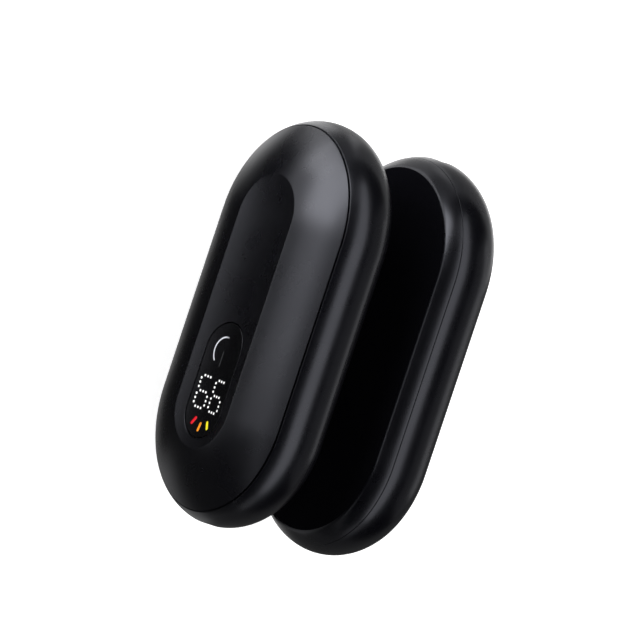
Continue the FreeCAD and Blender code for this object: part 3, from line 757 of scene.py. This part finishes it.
def cardMask(tree, spot, card):  # 1 on the card, fading out towards its edges
    mask = 1.0
    for axis, low, high, soft in zip("XY", card["low"], card["high"], card["soft"]):
        middle, reach = (low + high) / 2, (high - low) / 2
        off = addNode(tree, "ShaderNodeMath", {"operation": "SUBTRACT"}, {0: spot[axis], 1: middle * mm})
        away = addNode(tree, "ShaderNodeMath", {"operation": "ABSOLUTE"}, {0: off.outputs["Value"]})
        ramp = addNode(tree, "ShaderNodeMapRange", {"interpolation_type": "SMOOTHSTEP"}, {
            "Value": away.outputs["Value"], "From Min": reach * mm, "From Max": (reach - soft) * mm})
        mask = addNode(tree, "ShaderNodeMath", {"operation": "MULTIPLY"}, {
            0: ramp.outputs["Result"], 1: mask}).outputs["Value"]
    return mask


def makeFloor():
    mesh = bmesh.new()
    bmesh.ops.create_grid(mesh, x_segments=2, y_segments=2, size=studio["floorSize"] / 2)
    data = bpy.data.meshes.new("studioFloor")
    mesh.to_mesh(data)
    mesh.free()
    material, tree, shader = newMaterial("paintedFloor")
    place = addNode(tree, "ShaderNodeTexCoord").outputs["Object"]
    mottle = addNode(tree, "ShaderNodeTexNoise", None, {
        "Vector": place, "Scale": 1 / (studio["floorMottleMm"] * mm), "Detail": studio["floorMottleDetail"]})
    shades = addNode(tree, "ShaderNodeMix", {"data_type": "RGBA"}, {
        0: mottle.outputs["Fac"],
        6: toLinear(studio["floorColour"]), 7: toLinear(studio["floorLightColour"])}).outputs[2]
    rays = addNode(tree, "ShaderNodeLightPath").outputs
    spot = addNode(tree, "ShaderNodeSeparateXYZ", None, {"Vector": place}).outputs
    level, bare = studio["floorLift"], 1.0
    for card in cards.values():  # each card lies over the ones before it
        mask = cardMask(tree, spot, card)
        level = addNode(tree, "ShaderNodeMix", None, {0: mask, 2: level, 3: card["grey"]}).outputs[0]
        bare = addNode(tree, "ShaderNodeMix", None, {0: mask, 2: bare, 3: 0.0}).outputs[0]
    glossy = rays["Is Glossy Ray"]
    bare = addNode(tree, "ShaderNodeMix", None, {0: glossy, 2: 1.0, 3: bare}).outputs[0]
    level = addNode(tree, "ShaderNodeMix", None, {0: glossy, 2: studio["floorLift"], 3: level}).outputs[0]
    shades = addNode(tree, "ShaderNodeMix", {"data_type": "RGBA"}, {
        0: bare, 6: toLinear(studio["cardColour"]), 7: shades}).outputs[2]
    seen = addNode(tree, "ShaderNodeMath", {"operation": "ADD"}, {0: rays["Is Camera Ray"], 1: glossy})
    seen = addNode(tree, "ShaderNodeMath", {"operation": "ADD", "use_clamp": True}, {
        0: seen.outputs["Value"], 1: rays["Is Transmission Ray"]})
    lift = addNode(tree, "ShaderNodeMath", {"operation": "MULTIPLY"}, {0: seen.outputs["Value"], 1: level})
    tree.links.new(shades, shader.inputs["Base Color"])
    shader.inputs["Roughness"].default_value = studio["floorRoughness"]
    shader.inputs["Specular IOR Level"].default_value = 0.0
    shader.inputs["Emission Color"].default_value = (1, 1, 1, 1)
    tree.links.new(lift.outputs["Value"], shader.inputs["Emission Strength"])
    data.materials.append(material)
    floor = bpy.data.objects.new("studioFloor", data)
    bpy.context.scene.collection.objects.link(floor)


makeFloor()

# soft boxes: where each one stands, what it faces and its size in metres, and its power in watts
lamps = {
    "overheadStrip": {
        "at": (-0.02, -0.0195, 0.215), "aim": (-0.02, -0.0195, 0.05), "size": (0.76, 0.095), "power": 0.426},
    "endStrip": {"at": (-0.30, -0.11, 0.215), "aim": (-0.30, -0.11, 0.05), "size": (0.2, 0.09), "power": 0.0285},
    "portEndStrip": {"at": (0.40, -0.02, 0.13), "aim": (0, -0.02, 0.04), "size": (0.17, 0.095), "power": 0.03},
    "leftBox": {"at": (-0.29, -0.35, 0.135), "aim": (0, 0, 0.045), "size": (0.25, 0.16), "power": 0.75},
    "fillBox": {"at": (0, 0.3, 1.6), "aim": (0, 0, 0.03), "size": (1.6, 1.2), "power": 9.0},
    "frontStrip": {
        "at": (-0.1345, -0.25, 0.020), "aim": (-0.1345, 0, 0.020), "size": (0.331, 0.04), "power": 0.0495},
    "nearStrip": {"at": (-0.066, -0.102, 0.022), "aim": (-0.038, 0, 0.031), "size": (0.062, 0.042), "power": 0.035},
    "lowStrip": {
        "at": (-0.070, -0.064, 0.0085), "aim": (-0.046, -0.035, 0.0455), "size": (0.024, 0.022), "power": 0.0053},
    "frontBox": {"at": (-0.12, -1.0, 0.32), "aim": (-0.12, 0, 0.05), "size": (0.6, 0.2), "power": 0.6},
    "backStrip": {"at": (-0.01, 0.072, 0.0665), "aim": (-0.01, 0, 0.0625), "size": (0.11, 0.022), "power": 0.0042},
    "backBox": {"at": (0, 1.0, 0.6), "aim": (0, 0, 0.05), "size": (1.6, 1.1), "power": 1.1},
}


def makeLamps():
    for name, lamp in lamps.items():
        light = bpy.data.lights.new(name, "AREA")
        light.shape = "RECTANGLE"
        light.size, light.size_y = lamp["size"]
        light.energy = lamp["power"]
        holder = bpy.data.objects.new(name, light)
        back = (Vector(lamp["at"]) - Vector(lamp["aim"])).normalized()
        across = Vector((1, 0, 0))
        across = (across - back * across.dot(back)).normalized()
        upward = back.cross(across)
        turn = Matrix((across, upward, back)).transposed().to_4x4()
        holder.matrix_world = Matrix.Translation(lamp["at"]) @ turn
        holder.visible_camera = False
        holder.visible_glossy = name != "fillBox"  # the fill lights the floor and draws no streak
        bpy.context.scene.collection.objects.link(holder)
    world = bpy.data.worlds.new("studio")
    bpy.context.scene.world = world
    world.use_nodes = True
    world.node_tree.nodes["Background"].inputs["Color"].default_value = toLinear(studio["worldColour"])
    world.node_tree.nodes["Background"].inputs["Strength"].default_value = 1.0


makeLamps()
print("studio lit")

# long lens from above the front half's left end, the long axis leaning right in the picture
eye = {
    "direction": (-0.0286, -0.6032, 0.7971),
    "lean": 18.43,
    "distance": 0.9,
    "pixelsPerMm": 4.208,
    "picture": 640,  # side of the square picture in pixels
    "middleAt": (323.85, 340.0),  # where the pair's middle falls in it
    "sensor": 36.0,
    "clip": (0.01, 20.0),
}


def makeCamera():
    back = Vector(eye["direction"]).normalized()
    along = Vector((-1, 0, 0))
    along = (along - back * along.dot(back)).normalized()
    across = along.cross(back)
    lean = math.radians(eye["lean"])
    right = across * math.cos(lean) + along * math.sin(lean)
    up = along * math.cos(lean) - across * math.sin(lean)
    scale = eye["pixelsPerMm"] / mm
    offRight, offDown = ((place - eye["picture"] / 2) / scale for place in eye["middleAt"])
    aim = Vector((0, 0, form["halfWidth"] * mm)) - right * offRight + up * offDown
    camera = bpy.data.cameras.new("photoCamera")
    camera.sensor_width = eye["sensor"]
    camera.lens = scale * eye["distance"] * eye["sensor"] / eye["picture"]
    camera.clip_start, camera.clip_end = eye["clip"]
    holder = bpy.data.objects.new("photoCamera", camera)
    turn = Matrix((right, up, back)).transposed().to_4x4()
    holder.matrix_world = Matrix.Translation(aim + back * eye["distance"]) @ turn
    bpy.context.scene.collection.objects.link(holder)
    bpy.context.scene.camera = holder


makeCamera()
bpy.context.scene.view_settings.view_transform = "Standard"
print("camera set")
